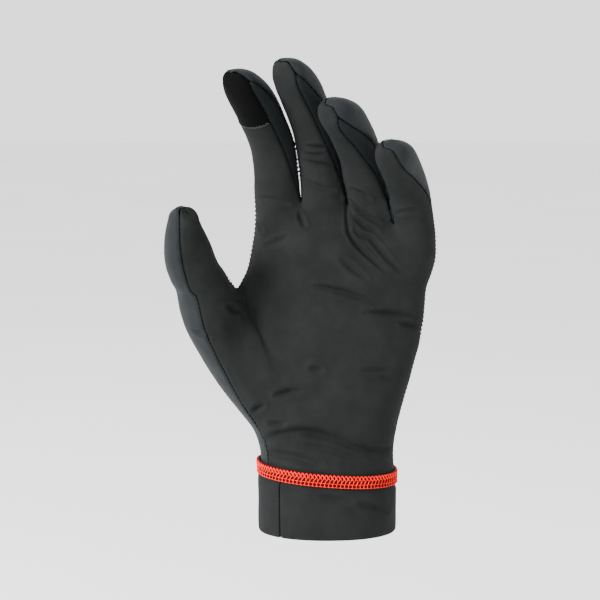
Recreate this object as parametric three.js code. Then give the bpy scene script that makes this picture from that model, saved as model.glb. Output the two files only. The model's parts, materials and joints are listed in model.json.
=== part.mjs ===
// Glove liner for a left hand: thin stretch knit that keeps the easy curl of a worn hand.
// Millimetres. The palm faces -Y, the fingers rise along +Z and the thumb lies towards -X.
// The origin is the centre of the wrist opening, at the hem.
import * as THREE from "three";

// Cloth
const WALL = 1.2;
const SEAM_GAP = 0.3;
const FOLD_DEPTH = 1.3;
const FOLD_REACH = 6.5;

// Cuff, and the flat seam of looped thread that joins it to the hand
const CUFF_HEIGHT = 30.5;
const CUFF_WALL = 2;
const WRIST_WIDTH = 68;
const WRIST_DEPTH = 50;
const WRIST_SLOPE = -0.075;
const WRIST_SEAM_HEIGHT = 6.5;
const WRIST_SEAM_THICKNESS = 0.9;

// Palm, from the wrist seam to the middle finger's crotch
const PALM_LENGTH = 134.5;
const PALM_WIDTH = 96;
const PALM_DEPTH = 34;
const THUMB_CROTCH_HEIGHT = 92.5;
const KNUCKLE_SHIFT = 8.8;

// Fingers and thumb, measured from their crotches
const INDEX_LENGTH = 82;
const MIDDLE_LENGTH = 85.5;
const RING_LENGTH = 80;
const LITTLE_LENGTH = 66;
const THUMB_LENGTH = 54;
const INDEX_BREADTH = 23;
const MIDDLE_BREADTH = 23;
const RING_BREADTH = 22.5;
const LITTLE_BREADTH = 21;
const THUMB_BREADTH = 24;
const THUMB_ROOT_BREADTH = 29;
const THUMB_ROOT_DEPTH = 30;
const FOURCHETTE_WIDTH = 11;
const TOUCH_PATCH_LENGTH = 30.5;

// Where the side seam lies, in degrees round from the thumb's side towards the palm
const WRIST_SIDE_SEAM = 30;
const HEEL_SIDE_SEAM = 40;
const THUMB_SIDE_SEAM = 83;
const THUMB_INNER_SEAM = 250;
const CUFF_SEAM = 49;

// Facets of the cloth. Columns run from the thumb's side, on the palm and again on the back.
const HEEL_ROWS = 12;
const KNUCKLE_ROWS = 10;
const LIMB_ROWS = 13;
const TIP_ROWS = 5;
const THUMB_COLUMNS = 8;
const FINGER_COLUMNS = [7, 6, 6, 7];
const WRIST_SIDES = 48;
const CUFF_ROWS = 3;
const SMOOTHING_PASSES = 8;

// Roundness of a section: 2 is an ellipse, and more is squarer.
const SECTION_POWER = 2.2;

// Sections of the hand from the wrist seam to the thumb's crotch, thumb and palm together. up is a share of
// PALM_LENGTH, left and right are the edges and shares of PALM_WIDTH, and front and back are the faces'
// distances from the middle and shares of PALM_DEPTH. The wrist's own section is the first row's.
const HEEL_FORM = [
  { up: 0.1, left: -0.36, right: 0.345, front: 0.7, back: 0.68 },
  { up: 0.17, left: -0.42, right: 0.36, front: 0.66, back: 0.62 },
  { up: 0.24, left: -0.505, right: 0.385, front: 0.64, back: 0.58 },
  { up: 0.35, left: -0.58, right: 0.415, front: 0.62, back: 0.52 },
  { up: 0.45, left: -0.605, right: 0.428, front: 0.6, back: 0.49 },
  { up: 0.55, left: -0.638, right: 0.452, front: 0.56, back: 0.47 },
  { up: 0.61, left: -0.675, right: 0.48, front: 0.53, back: 0.46 },
  { up: 0.691, left: -0.73, right: 0.51, front: 0.5, back: 0.45 },
];

// Sections of the palm alone, from the thumb's crotch to the fingers', in the same shares
const KNUCKLE_FORM = [
  { up: 0.691, left: -0.476, right: 0.51, front: 0.5, back: 0.45 },
  { up: 0.73, left: -0.43, right: 0.526, front: 0.49, back: 0.46 },
  { up: 0.8, left: -0.405, right: 0.546, front: 0.47, back: 0.47 },
  { up: 0.87, left: -0.39, right: 0.562, front: 0.45, back: 0.46 },
  { up: 0.94, left: -0.38, right: 0.561, front: 0.4, back: 0.42 },
  { up: 1.0, left: -0.372, right: 0.556, front: 0.34, back: 0.36 },
];

// Heights of the fingers' crotches and of the two outer sides, from the thumb's side, as shares of PALM_LENGTH
const CROTCH_RISES = [0.985, 1.0, 0.99, 0.92, 0.885];

// How far below a crotch the cloth starts to part, and starts to close over the crotch, as shares of the way
const THUMB_PARTING = { start: 0.35, close: 0.62 };
const FINGER_PARTING = { start: 0.4, close: 0.66 };
const PARTING_COLUMNS = 2.2;

// Fingers. out is the root's place towards the back as a share of PALM_DEPTH. bends are the three joints'
// angles, turn swings the curl to the thumb's side and roll twists the cloth round the tip, in degrees.
const FINGERS = [
  { name: "index", length: INDEX_LENGTH, breadth: INDEX_BREADTH, out: 0.02, bends: [9, 30, 13], turn: 31, roll: 15 },
  { name: "middle", length: MIDDLE_LENGTH, breadth: MIDDLE_BREADTH, out: 0.04, bends: [12, 22, 15], turn: 29, roll: 40 },
  { name: "ring", length: RING_LENGTH, breadth: RING_BREADTH, out: 0.0, bends: [20, 26, 19], turn: 25, roll: 60 },
  { name: "little", length: LITTLE_LENGTH, breadth: LITTLE_BREADTH, out: -0.1, bends: [26, 26, 14], turn: 20, roll: 55 },
];
const PHALANX_SHARES = [0.38, 0.32, 0.3];

// Sections of a finger up to its round tip. along is a share of its length, width and depth of its breadth.
const FINGER_FORM = [
  { along: 0.0, width: 0.98, depth: 0.98 },
  { along: 0.12, width: 0.96, depth: 0.96 },
  { along: 0.25, width: 0.97, depth: 0.95 },
  { along: 0.4, width: 0.935, depth: 0.94 },
  { along: 0.55, width: 0.92, depth: 0.9 },
  { along: 0.7, width: 0.93, depth: 0.9 },
  { along: 0.86, width: 0.93, depth: 0.81 },
];

// Round tips of the fingers and thumb: where they start, how wide the seam over the tip is, and where a
// fourchette runs out, as shares of the length and breadth
const TIP_START_SHARE = 0.79;
const TIP_SEAM_SHARE = 0.3;
const FOURCHETTE_END_SHARE = 0.955;

// Thumb's middle line from its root, as shares of THUMB_LENGTH, and its sections as a finger's
const THUMB_LINE = [
  { x: 0.16, y: 0.12, z: -0.3 },
  { x: 0.0, y: 0.0, z: 0.0 },
  { x: -0.11, y: -0.18, z: 0.26 },
  { x: -0.16, y: -0.36, z: 0.52 },
  { x: -0.18, y: -0.5, z: 0.81 },
];
const THUMB_FORM = [
  { along: 0.0, width: 1.2, depth: 1.2 },
  { along: 0.2, width: 1.06, depth: 1.1 },
  { along: 0.4, width: 1.02, depth: 1.0 },
  { along: 0.6, width: 0.94, depth: 0.92 },
  { along: 0.86, width: 0.65, depth: 0.74 },
];

// How far in front of the middle plane the thumb's root and its crotch lie, as shares of PALM_DEPTH
const THUMB_OUT_SHARE = -0.42;
const THUMB_CROTCH_OUT_SHARE = -0.19;

// Folds pressed into the palm's side, as straight runs seen from the front. x and z are shares of PALM_WIDTH
// and PALM_LENGTH from the wrist seam's middle, and deep and wide are shares of FOLD_DEPTH and FOLD_REACH.
const FOLDS = [
  { x1: 0.1, z1: 0.95, x2: 0.16, z2: 0.85, deep: 1.0, wide: 1.0 },
  { x1: 0.16, z1: 0.85, x2: 0.32, z2: 0.73, deep: 1.0, wide: 1.0 },
  { x1: 0.14, z1: 0.92, x2: 0.27, z2: 0.84, deep: 0.8, wide: 0.9 },
  { x1: 0.27, z1: 0.84, x2: 0.43, z2: 0.73, deep: 0.8, wide: 0.9 },
  { x1: -0.34, z1: 0.84, x2: -0.19, z2: 0.88, deep: 0.7, wide: 1.0 },
  { x1: -0.07, z1: 0.69, x2: 0.11, z2: 0.67, deep: 0.6, wide: 1.1 },
  { x1: 0.2, z1: 0.59, x2: 0.45, z2: 0.58, deep: 0.6, wide: 1.1 },
  { x1: -0.28, z1: 0.3, x2: -0.13, z2: 0.32, deep: 0.7, wide: 1.2 },
  { x1: -0.3, z1: 0.15, x2: -0.02, z2: 0.15, deep: 0.9, wide: 1.2 },
  { x1: -0.02, z1: 0.15, x2: 0.33, z2: 0.09, deep: 0.9, wide: 1.2 },
  { x1: -0.53, z1: 0.63, x2: -0.45, z2: 0.61, deep: 1.6, wide: 1.3 },
  { x1: -0.12, z1: 1.22, x2: 0.04, z2: 1.2, deep: 0.7, wide: 0.8 },
  { x1: 0.12, z1: 1.0, x2: 0.27, z2: 0.92, deep: 0.8, wide: 0.9 },
];

// Colours and roughness
const CLOTH = { color: 0x343635, roughness: 0.9 };
const BACK_CLOTH = { color: 0x3c4245, roughness: 0.9 };
const TOUCH_CLOTH = { color: 0x1a1a19, roughness: 0.8 };
const THREAD = { color: 0xe63c2d, roughness: 0.7 };

const { degToRad: radians, lerp, smoothstep, clamp } = THREE.MathUtils;
const FULL_TURN = 360;
const SIDE = new THREE.Vector3(1, 0, 0);
const FACE = new THREE.Vector3(0, -1, 0);

// The value of a column at a place between a table's rows, on a smooth curve through them
function valueAt(rows, key, column, at) {
  const last = rows.length - 1;
  const i = Math.max(rows.findLastIndex((row, n) => n < last && row[key] <= at), 0);
  const [a, b, c, d] = [i - 1, i, i + 1, i + 2].map((n) => rows[clamp(n, 0, last)]);
  const span = c[key] - b[key];
  const t = (Math.min(at, rows[last][key]) - b[key]) / span;
  const m0 = ((c[column] - a[column]) / (c[key] - a[key])) * span;
  const m1 = ((d[column] - b[column]) / (d[key] - b[key])) * span;
  return (
    (2 * t ** 3 - 3 * t ** 2 + 1) * b[column] + (t ** 3 - 2 * t ** 2 + t) * m0 +
    (3 * t ** 2 - 2 * t ** 3) * c[column] + (t ** 3 - t ** 2) * m1
  );
}

// A point of a rounded section. The angle runs from the thumb's side over the palm's side.
function sectionPoint(section, angle) {
  const c = Math.cos(angle);
  const s = Math.sin(angle);
  const across = -Math.sign(c) * Math.abs(c) ** (2 / SECTION_POWER) * section.half;
  const reach = Math.sign(s) * Math.abs(s) ** (2 / SECTION_POWER) * (s > 0 ? section.front : section.back);
  return section.centre.clone().addScaledVector(section.side, across).addScaledVector(section.face, reach);
}

// The hand's section at a height over the wrist seam. The wrist's row follows the wrist's own sizes.
const WRIST_ROW = {
  up: 0,
  left: -WRIST_WIDTH / 2 / PALM_WIDTH,
  right: WRIST_WIDTH / 2 / PALM_WIDTH,
  front: WRIST_DEPTH / 2 / PALM_DEPTH,
  back: WRIST_DEPTH / 2 / PALM_DEPTH,
};
const heelForm = [WRIST_ROW, ...HEEL_FORM];

function handSection(form, up) {
  const left = valueAt(form, "up", "left", up) * PALM_WIDTH;
  const right = valueAt(form, "up", "right", up) * PALM_WIDTH;
  return {
    centre: new THREE.Vector3((left + right) / 2, 0, 0),
    half: (right - left) / 2,
    front: valueAt(form, "up", "front", up) * PALM_DEPTH,
    back: valueAt(form, "up", "back", up) * PALM_DEPTH,
    side: SIDE,
    face: FACE,
  };
}

const wristHeight = (x) => CUFF_HEIGHT + WRIST_SLOPE * x;

// The fingers' roots stand side by side.
const breadths = FINGERS.map((finger) => finger.breadth);
const rootEdges = [KNUCKLE_SHIFT - breadths.reduce((sum, breadth) => sum + breadth, 0) / 2];
breadths.forEach((breadth) => rootEdges.push(rootEdges.at(-1) + breadth));
const rootStarts = [0];
FINGER_COLUMNS.forEach((count) => rootStarts.push(rootStarts.at(-1) + count));
const PALM_COLUMNS = rootStarts.at(-1);
const lastFinger = FINGERS.length - 1;
const rootHeight = (edge) => CUFF_HEIGHT + CROTCH_RISES[edge] * PALM_LENGTH;

function rootSection(i) {
  const depth = (breadths[i] * FINGER_FORM[0].depth) / 2;
  const centre = new THREE.Vector3((rootEdges[i] + rootEdges[i + 1]) / 2, FINGERS[i].out * PALM_DEPTH, 0);
  return { centre, half: breadths[i] / 2, front: depth, back: depth, side: SIDE, face: FACE };
}

// Angles of the palm's columns round its section, so that they lead up to the fingers' columns
const rootsHalf = (rootEdges.at(-1) - rootEdges[0]) / 2;
const edgeAngles = rootEdges.map((x) => {
  const share = 1 - (x - rootEdges[0]) / rootsHalf;
  return Math.acos(Math.sign(share) * Math.min(Math.abs(share), 1) ** (SECTION_POWER / 2));
});
const palmAngles = [0];
FINGER_COLUMNS.forEach((count, i) => {
  for (let n = 1; n <= count; n++) palmAngles.push(lerp(edgeAngles[i], edgeAngles[i + 1], n / count));
});

// How far a column has parted from the whole section: gently away from a crotch, and closing round over it
function partingAt(share, columnsAway, parting) {
  const near = Math.exp(-((columnsAway / PARTING_COLUMNS) ** 2));
  const s = clamp((share - parting.close) / (1 - parting.close), 0, 1);
  return lerp(smoothstep(share, parting.start, 1), 1 - Math.sqrt(1 - s * s), near);
}

// Heel of the hand: rows from the wrist seam to the thumb's crotch
const crotchShare = THUMB_CROTCH_HEIGHT / PALM_LENGTH;
const thumbEdge = KNUCKLE_FORM[0].left * PALM_WIDTH;
const thumbRoot = {
  centre: new THREE.Vector3(thumbEdge - THUMB_ROOT_BREADTH / 2, THUMB_OUT_SHARE * PALM_DEPTH, 0),
  half: THUMB_ROOT_BREADTH / 2,
  front: THUMB_ROOT_DEPTH / 2,
  back: THUMB_ROOT_DEPTH / 2,
  side: SIDE,
  face: FACE,
};
const CROTCH_ANGLE_LOW = radians(72);
const CROTCH_ANGLE_HIGH = radians(58);

function heelPoint(row, column, turn) {
  const share = row / HEEL_ROWS;
  const seam = radians(lerp(WRIST_SIDE_SEAM, HEEL_SIDE_SEAM, smoothstep(share, 0, 0.7)));
  const crotch = lerp(CROTCH_ANGLE_LOW, CROTCH_ANGLE_HIGH, share);
  const thumbShare = column / THUMB_COLUMNS;
  const palmAngle = palmAngles[Math.max(column - THUMB_COLUMNS, 0)];
  const joined = handSection(heelForm, share * crotchShare);
  let point = null;
  let parted = null;
  if (column <= THUMB_COLUMNS) {
    point = sectionPoint(joined, lerp(seam, turn * crotch, thumbShare));
    parted = sectionPoint(thumbRoot, radians(lerp(THUMB_SIDE_SEAM, turn * 180, thumbShare)));
  } else {
    point = sectionPoint(joined, turn * lerp(crotch, Math.PI, palmAngle / Math.PI));
    parted = sectionPoint(handSection(KNUCKLE_FORM, crotchShare), turn * palmAngle);
  }
  if (column === THUMB_COLUMNS) parted.set(thumbEdge, THUMB_CROTCH_OUT_SHARE * PALM_DEPTH, 0);
  point.lerp(parted, partingAt(share, Math.abs(column - THUMB_COLUMNS), THUMB_PARTING));
  point.z = lerp(wristHeight(point.x), CUFF_HEIGHT + THUMB_CROTCH_HEIGHT, share);
  return point;
}

// Half the angle that a fourchette takes of a finger's section, and a column's angle between the seams
const fourchetteAngle = (i) => Math.asin(Math.min(FOURCHETTE_WIDTH / breadths[i], 0.9));

function fingerAngle(i, share, strip, turn) {
  const from = i > 0 ? strip : 0;
  const to = i < lastFinger ? strip : 0;
  return turn * lerp(from, Math.PI - to, share);
}

// Knuckles: rows from the thumb's crotch to the fingers'
const innerEdges = rootStarts.slice(1, -1);

function knucklePoint(row, column, turn) {
  const share = row / KNUCKLE_ROWS;
  const point = sectionPoint(handSection(KNUCKLE_FORM, lerp(crotchShare, 1, share)), turn * palmAngles[column]);
  const i = Math.min(rootStarts.findLastIndex((start) => start <= column), lastFinger);
  const within = (column - rootStarts[i]) / FINGER_COLUMNS[i];
  const parted = sectionPoint(rootSection(i), fingerAngle(i, within, fourchetteAngle(i), turn));
  if (innerEdges.includes(column)) {
    parted.lerp(sectionPoint(rootSection(i - 1), fingerAngle(i - 1, 1, fourchetteAngle(i - 1), turn)), 0.5);
  }
  const away = Math.min(...innerEdges.map((edge) => Math.abs(column - edge)));
  point.lerp(parted, partingAt(share, away, FINGER_PARTING));
  point.z = lerp(CUFF_HEIGHT + THUMB_CROTCH_HEIGHT, lerp(rootHeight(i), rootHeight(i + 1), within), share);
  return point;
}

// A finger or thumb: sections along its middle line, which starts one point below the root
const ROOT_LEAD_SHARE = 0.15;
const ROOT_BLEND_SHARE = 0.25;

function limbOf(line, form, breadth, sideAt, rollAt) {
  const curve = new THREE.CatmullRomCurve3(line, false, "centripetal");
  const lead = line[0].distanceTo(line[1]) / curve.getLength();
  const sectionAt = (along) => {
    const u = lerp(lead, 1, along);
    const tangent = curve.getTangentAt(u);
    const side = sideAt(along).projectOnPlane(tangent).normalize();
    const dome = clamp((along - TIP_START_SHARE) / (1 - TIP_START_SHARE), 0, 1);
    const round = Math.sqrt(1 - dome * dome);
    const at = Math.min(along, form.at(-1).along);
    const depth = (valueAt(form, "along", "depth", at) * breadth * round) / 2;
    return {
      centre: curve.getPointAt(u),
      half: (valueAt(form, "along", "width", at) * breadth * lerp(TIP_SEAM_SHARE, 1, round)) / 2,
      front: depth,
      back: depth,
      side,
      face: new THREE.Vector3().crossVectors(side, tangent).normalize(),
    };
  };
  const root = sectionAt(0).centre;
  // The ring leaves the shape of its root's row gently.
  const pointAt = (along, angle, rootPoint) => {
    const section = sectionAt(along);
    const held = rootPoint.clone().sub(root).add(section.centre);
    return held.lerp(sectionPoint(section, angle - rollAt(along)), smoothstep(along, 0, ROOT_BLEND_SHARE));
  };
  return { pointAt };
}

function fingerLimb(i) {
  const finger = FINGERS[i];
  const point = rootSection(i).centre.clone();
  point.z = (rootHeight(i) + rootHeight(i + 1)) / 2;
  const turn = radians(finger.turn);
  const heading = (angle) =>
    new THREE.Vector3(-Math.sin(turn) * Math.sin(angle), -Math.cos(turn) * Math.sin(angle), Math.cos(angle));
  let angle = radians(finger.bends[0]);
  const line = [point.clone().addScaledVector(heading(angle / 2), -ROOT_LEAD_SHARE * finger.length), point.clone()];
  PHALANX_SHARES.forEach((share, n) => {
    if (n > 0) angle += radians(finger.bends[n]);
    for (let half = 0; half < 2; half++) {
      point.addScaledVector(heading(angle), (share * finger.length) / 2);
      line.push(point.clone());
    }
  });
  const hinge = new THREE.Vector3(Math.cos(turn), -Math.sin(turn), 0);
  const sideAt = (along) => SIDE.clone().lerp(hinge, smoothstep(along, 0, 0.4));
  const rollAt = (along) => radians(finger.roll) * smoothstep(along, 0.1, 0.95);
  return limbOf(line, FINGER_FORM, finger.breadth, sideAt, rollAt);
}

function thumbLimb() {
  const root = thumbRoot.centre.clone();
  root.z = CUFF_HEIGHT + THUMB_CROTCH_HEIGHT;
  const line = THUMB_LINE.map((p) => new THREE.Vector3(p.x, p.y, p.z).multiplyScalar(THUMB_LENGTH).add(root));
  return limbOf(line, THUMB_FORM, THUMB_BREADTH, () => SIDE.clone(), () => 0);
}

// Places of a limb's rows along it, closer together over the round tip. One row lies on the patch's edge.
const TOUCH_ROW = 6;
const touchStart = 1 - TOUCH_PATCH_LENGTH / INDEX_LENGTH;
const limbStops = Array.from({ length: LIMB_ROWS + 1 }, (_, r) => {
  const tipRow = r - (LIMB_ROWS - TIP_ROWS);
  if (r <= TOUCH_ROW) return (touchStart * r) / TOUCH_ROW;
  if (tipRow <= 0) return lerp(TIP_START_SHARE, touchStart, tipRow / (TOUCH_ROW + TIP_ROWS - LIMB_ROWS));
  return lerp(TIP_START_SHARE, 1, Math.sin((Math.PI / 2) * (tipRow / TIP_ROWS)));
});

// All points of the cloth's outer face. A piece is a list of facets, each a list of numbers of points.
const points = [];
const place = (point) => points.push(point) - 1;
const palmFacets = [];
const backFacets = [];
const touchFacets = [];

function addRows(facets, rows, flip) {
  for (let r = 0; r + 1 < rows.length; r++) {
    for (let j = 0; j + 1 < rows[r].length; j++) {
      const loop = [rows[r][j], rows[r][j + 1], rows[r + 1][j + 1], rows[r + 1][j]];
      facets.push(flip ? loop.reverse() : loop);
    }
  }
}

// Rows of palm and back. Where they meet at the side seam or a crotch, they share the point.
function handRows(from, to, columns, pointOf, sharedAt) {
  const rows = { palm: [], back: [] };
  for (let r = from; r <= to; r++) {
    const palmRow = Array.from({ length: columns + 1 }, (_, j) => place(pointOf(r, j, 1)));
    rows.palm.push(palmRow);
    rows.back.push(palmRow.map((id, j) => (sharedAt(r, j) ? id : place(pointOf(r, j, -1)))));
  }
  return rows;
}

const handColumns = THUMB_COLUMNS + PALM_COLUMNS;
const heel = handRows(0, HEEL_ROWS, handColumns, heelPoint,
  (r, j) => j === 0 || j === handColumns || (r === HEEL_ROWS && j === THUMB_COLUMNS));
addRows(palmFacets, heel.palm, false);
addRows(backFacets, heel.back, true);

const knuckles = handRows(1, KNUCKLE_ROWS, PALM_COLUMNS, knucklePoint, (r, j) => j === 0 || j === PALM_COLUMNS);
knuckles.palm.unshift(heel.palm.at(-1).slice(THUMB_COLUMNS));
knuckles.back.unshift(heel.back.at(-1).slice(THUMB_COLUMNS));
addRows(palmFacets, knuckles.palm, false);
addRows(backFacets, knuckles.back, true);

// Rows of a limb on its root's rows. isOpen says where a fourchette keeps palm and back apart.
function limbRows(limb, palmRoot, backRoot, angleOf, isOpen, touchRow = LIMB_ROWS) {
  const columns = palmRoot.length - 1;
  const rows = { palm: [palmRoot], back: [backRoot] };
  limbStops.slice(1).forEach((along) => {
    const spot = (root, j, turn) => limb.pointAt(along, angleOf(along, j / columns, turn), points[root[j]]);
    const palmRow = palmRoot.map((_, j) => place(spot(palmRoot, j, 1)));
    const shared = (j) => along === 1 || (j === 0 && !isOpen(along, -1)) || (j === columns && !isOpen(along, 1));
    rows.palm.push(palmRow);
    rows.back.push(palmRow.map((id, j) => (shared(j) ? id : place(spot(backRoot, j, -1)))));
  });
  addRows(palmFacets, rows.palm.slice(0, touchRow + 1), false);
  addRows(touchFacets, rows.palm.slice(touchRow), false);
  addRows(backFacets, rows.back, true);
  return rows;
}

const thumbAngle = (along, share, turn) => {
  const inner = lerp(180, THUMB_INNER_SEAM, smoothstep(along, 0, 0.35));
  return radians(lerp(THUMB_SIDE_SEAM, turn > 0 ? inner : inner - FULL_TURN, share));
};
const thumbPart = (row) => row.slice(0, THUMB_COLUMNS + 1);
limbRows(thumbLimb(), thumbPart(heel.palm.at(-1)), thumbPart(heel.back.at(-1)), thumbAngle, () => false);

const fingers = FINGERS.map((finger, i) => {
  const limb = fingerLimb(i);
  const strip = (along) => fourchetteAngle(i) * Math.sqrt(Math.max(1 - (along / FOURCHETTE_END_SHARE) ** 3, 0));
  const angleOf = (along, share, turn) => fingerAngle(i, share, strip(along), turn);
  const isOpen = (along, edge) => along < FOURCHETTE_END_SHARE && (edge < 0 ? i > 0 : i < lastFinger);
  const part = (row) => row.slice(rootStarts[i], rootStarts[i + 1] + 1);
  const touchRow = finger.name === "index" ? TOUCH_ROW : LIMB_ROWS;
  const [palmRoot, backRoot] = [part(knuckles.palm.at(-1)), part(knuckles.back.at(-1))];
  return { limb, rows: limbRows(limb, palmRoot, backRoot, angleOf, isOpen, touchRow) };
});

// A fourchette runs down one finger's side, through the crotch and up its neighbour's.
const lastStripRow = limbStops.findLastIndex((along) => along < FOURCHETTE_END_SHARE);

function fourchetteFacets(i) {
  const facets = [];
  const corners = [fingers[i].rows.palm[0].at(-1), fingers[i].rows.back[0].at(-1)];
  const saddle = place(points[corners[0]].clone().lerp(points[corners[1]], 0.5));
  for (const lower of [true, false]) {
    const { limb, rows } = fingers[lower ? i : i + 1];
    const edge = (row) => (lower ? row.at(-1) : row[0]);
    const strips = limbStops.slice(0, lastStripRow + 1).map((along, r) => {
      const middle = r === 0 ? saddle : place(limb.pointAt(along, lower ? Math.PI : 0, points[saddle]));
      return [edge(rows.palm[r]), middle, edge(rows.back[r])];
    });
    addRows(facets, strips, !lower);
    const [a, b, c] = strips.at(-1);
    const tip = edge(rows.palm[lastStripRow + 1]);
    for (const loop of [[a, b, tip], [b, c, tip]]) facets.push(lower ? loop : loop.reverse());
  }
  return facets;
}
const fourchettes = FINGERS.slice(1).map((_, i) => fourchetteFacets(i));
const cloth = [palmFacets, touchFacets, backFacets, ...fourchettes];

// Normals of all pieces together, so that neighbouring pieces meet squarely
function normalsOf(pieces) {
  const normals = points.map(() => new THREE.Vector3());
  for (const facet of pieces.flat()) {
    const start = points[facet[0]];
    const normal = new THREE.Vector3();
    for (let n = 1; n + 1 < facet.length; n++) {
      normal.add(points[facet[n]].clone().sub(start).cross(points[facet[n + 1]].clone().sub(start)));
    }
    facet.forEach((id) => normals[id].add(normal));
  }
  return normals.map((normal) => normal.normalize());
}

// Evens the cloth out where rows of different sections meet, and swells it back by as much.
function relax(pieces, held) {
  const near = points.map(() => new Set());
  for (const facet of pieces.flat()) {
    facet.forEach((a, n) => {
      const b = facet[(n + 1) % facet.length];
      near[a].add(b);
      near[b].add(a);
    });
  }
  for (let pass = 0; pass < SMOOTHING_PASSES * 2; pass++) {
    const share = pass % 2 === 0 ? 0.5 : -0.52;
    const moves = points.map((point, id) => {
      const mean = [...near[id]].reduce((sum, n) => sum.add(points[n]), new THREE.Vector3());
      return mean.divideScalar(near[id].size || 1).sub(point);
    });
    points.forEach((point, id) => {
      if (near[id].size > 0 && !held.has(id)) point.addScaledVector(moves[id], share);
    });
  }
}

// How deep the folds press a point of the palm's side
function foldDepth(point) {
  const here = new THREE.Vector2(point.x, point.z);
  return FOLDS.reduce((sum, fold) => {
    const from = new THREE.Vector2(fold.x1 * PALM_WIDTH, CUFF_HEIGHT + fold.z1 * PALM_LENGTH);
    const run = new THREE.Vector2(fold.x2 * PALM_WIDTH, CUFF_HEIGHT + fold.z2 * PALM_LENGTH).sub(from);
    const share = clamp(here.clone().sub(from).dot(run) / run.lengthSq(), 0, 1);
    const away = here.distanceTo(from.clone().addScaledVector(run, share)) / (fold.wide * FOLD_REACH);
    return sum + fold.deep * FOLD_DEPTH * Math.exp(-away * away);
  }, 0);
}

function pressFolds(pieces, held) {
  const normals = normalsOf(pieces);
  points.forEach((point, id) => {
    const facing = Math.max(normals[id].dot(FACE), 0);
    if (!held.has(id)) point.addScaledVector(normals[id], -facing * foldDepth(point));
  });
}

// How flat a four-sided facet lies when it is split from one of its first two corners
function flatness(corners, first) {
  const [p, q, r, s] = [0, 1, 2, 3].map((n) => corners[(first + n) % 4]);
  const across = r.clone().sub(p);
  const one = q.clone().sub(p).cross(across).normalize();
  const two = across.clone().cross(s.clone().sub(p)).normalize();
  return one.dot(two);
}

// The edges that only one of a piece's facets has
function rimOf(facets) {
  const edges = new Map();
  for (const facet of facets) {
    facet.forEach((a, n) => {
      const b = facet[(n + 1) % facet.length];
      if (!edges.delete(`${b},${a}`)) edges.set(`${a},${b}`, [a, b]);
    });
  }
  return [...edges.values()];
}

// Each point of the rim draws back into its own piece by half the seam's gap.
function drawBack(rim, normals) {
  const inward = new Map();
  for (const [a, b] of rim) {
    const along = points[b].clone().sub(points[a]);
    for (const id of [a, b]) {
      const away = new THREE.Vector3().crossVectors(normals[id], along).normalize();
      inward.set(id, [...(inward.get(id) ?? []), away]);
    }
  }
  const moves = new Map();
  for (const [id, [one, two]] of inward) {
    const reach = Math.max(1 + one.dot(two), 0.25);
    moves.set(id, one.clone().add(two).multiplyScalar(SEAM_GAP / 2 / reach));
  }
  return moves;
}

// A closed solid from a piece's facets: outer face, inner face and the rim between them
function thicken(facets, normals, wall) {
  const rim = rimOf(facets);
  const moves = drawBack(rim, normals);
  const ids = [...new Set(facets.flat())];
  const number = new Map(ids.map((id, n) => [id, n]));
  const outer = ids.map((id) => points[id].clone().add(moves.get(id) ?? new THREE.Vector3()));
  const inner = outer.map((point, n) => point.clone().addScaledVector(normals[ids[n]], -wall));
  const deep = ids.length;
  const faces = [];
  for (const facet of facets) {
    const loop = facet.map((id) => number.get(id));
    const corners = loop.map((n) => outer[n]);
    if (loop.length === 4 && flatness(corners, 1) > flatness(corners, 0)) loop.push(loop.shift());
    for (let n = 1; n + 1 < loop.length; n++) {
      faces.push(loop[0], loop[n], loop[n + 1]);
      faces.push(loop[0] + deep, loop[n + 1] + deep, loop[n] + deep);
    }
  }
  // Both pieces at a seam split their rims along the same diagonals.
  for (const [a, b] of rim) {
    const [p, q] = [number.get(a), number.get(b)];
    if (a < b) faces.push(q, p, q + deep, p, p + deep, q + deep);
    else faces.push(q, p, p + deep, q, p + deep, q + deep);
  }
  const geometry = new THREE.BufferGeometry();
  const position = [...outer, ...inner].flatMap((p) => [p.x, p.y, p.z]);
  geometry.setAttribute("position", new THREE.Float32BufferAttribute(position, 3));
  geometry.setIndex(faces);
  return geometry;
}

// Shape the cloth, but for the two rows that the wrist seam lies on.
const held = new Set([...heel.palm.slice(0, 2), ...heel.back.slice(0, 2)].flat());
relax(cloth, held);
pressFolds(cloth, held);
const clothNormals = normalsOf(cloth);

// The cuff is a strip whose ends meet at its own upright seam. Its hem draws up to the origin's plane.
const wristAngles = Array.from({ length: WRIST_SIDES + 1 }, (_, n) =>
  radians(CUFF_SEAM) + (2 * Math.PI * n) / WRIST_SIDES);
const cuffFacets = [];
const cuffRows = Array.from({ length: CUFF_ROWS + 1 }, (_, r) => wristAngles.map((angle) => {
  const point = sectionPoint(handSection(heelForm, 0), angle);
  point.z = lerp(-SEAM_GAP / 2, wristHeight(point.x), r / CUFF_ROWS);
  return place(point);
}));
addRows(cuffFacets, cuffRows, false);

// The seam's thread lies in a flat ring over the join, just off the cloth.
const seamFacets = [];
const seamHalf = WRIST_SEAM_HEIGHT / 2 + SEAM_GAP / 2;
const seamRows = [-seamHalf, 0, seamHalf].map((height) => {
  const section = handSection(heelForm, Math.max(height, 0) / PALM_LENGTH);
  for (const size of ["half", "front", "back"]) section[size] += SEAM_GAP + WRIST_SEAM_THICKNESS;
  const ring = wristAngles.slice(1).map((angle) => {
    const point = sectionPoint(section, angle);
    point.z = wristHeight(point.x) + height;
    return place(point);
  });
  return [...ring, ring[0]];
});
addRows(seamFacets, seamRows, false);

function meshOf(name, facets, normals, wall, look) {
  const mesh = new THREE.Mesh(thicken(facets, normals, wall), new THREE.MeshStandardMaterial({ ...look, metalness: 0 }));
  mesh.name = name;
  return mesh;
}

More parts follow.
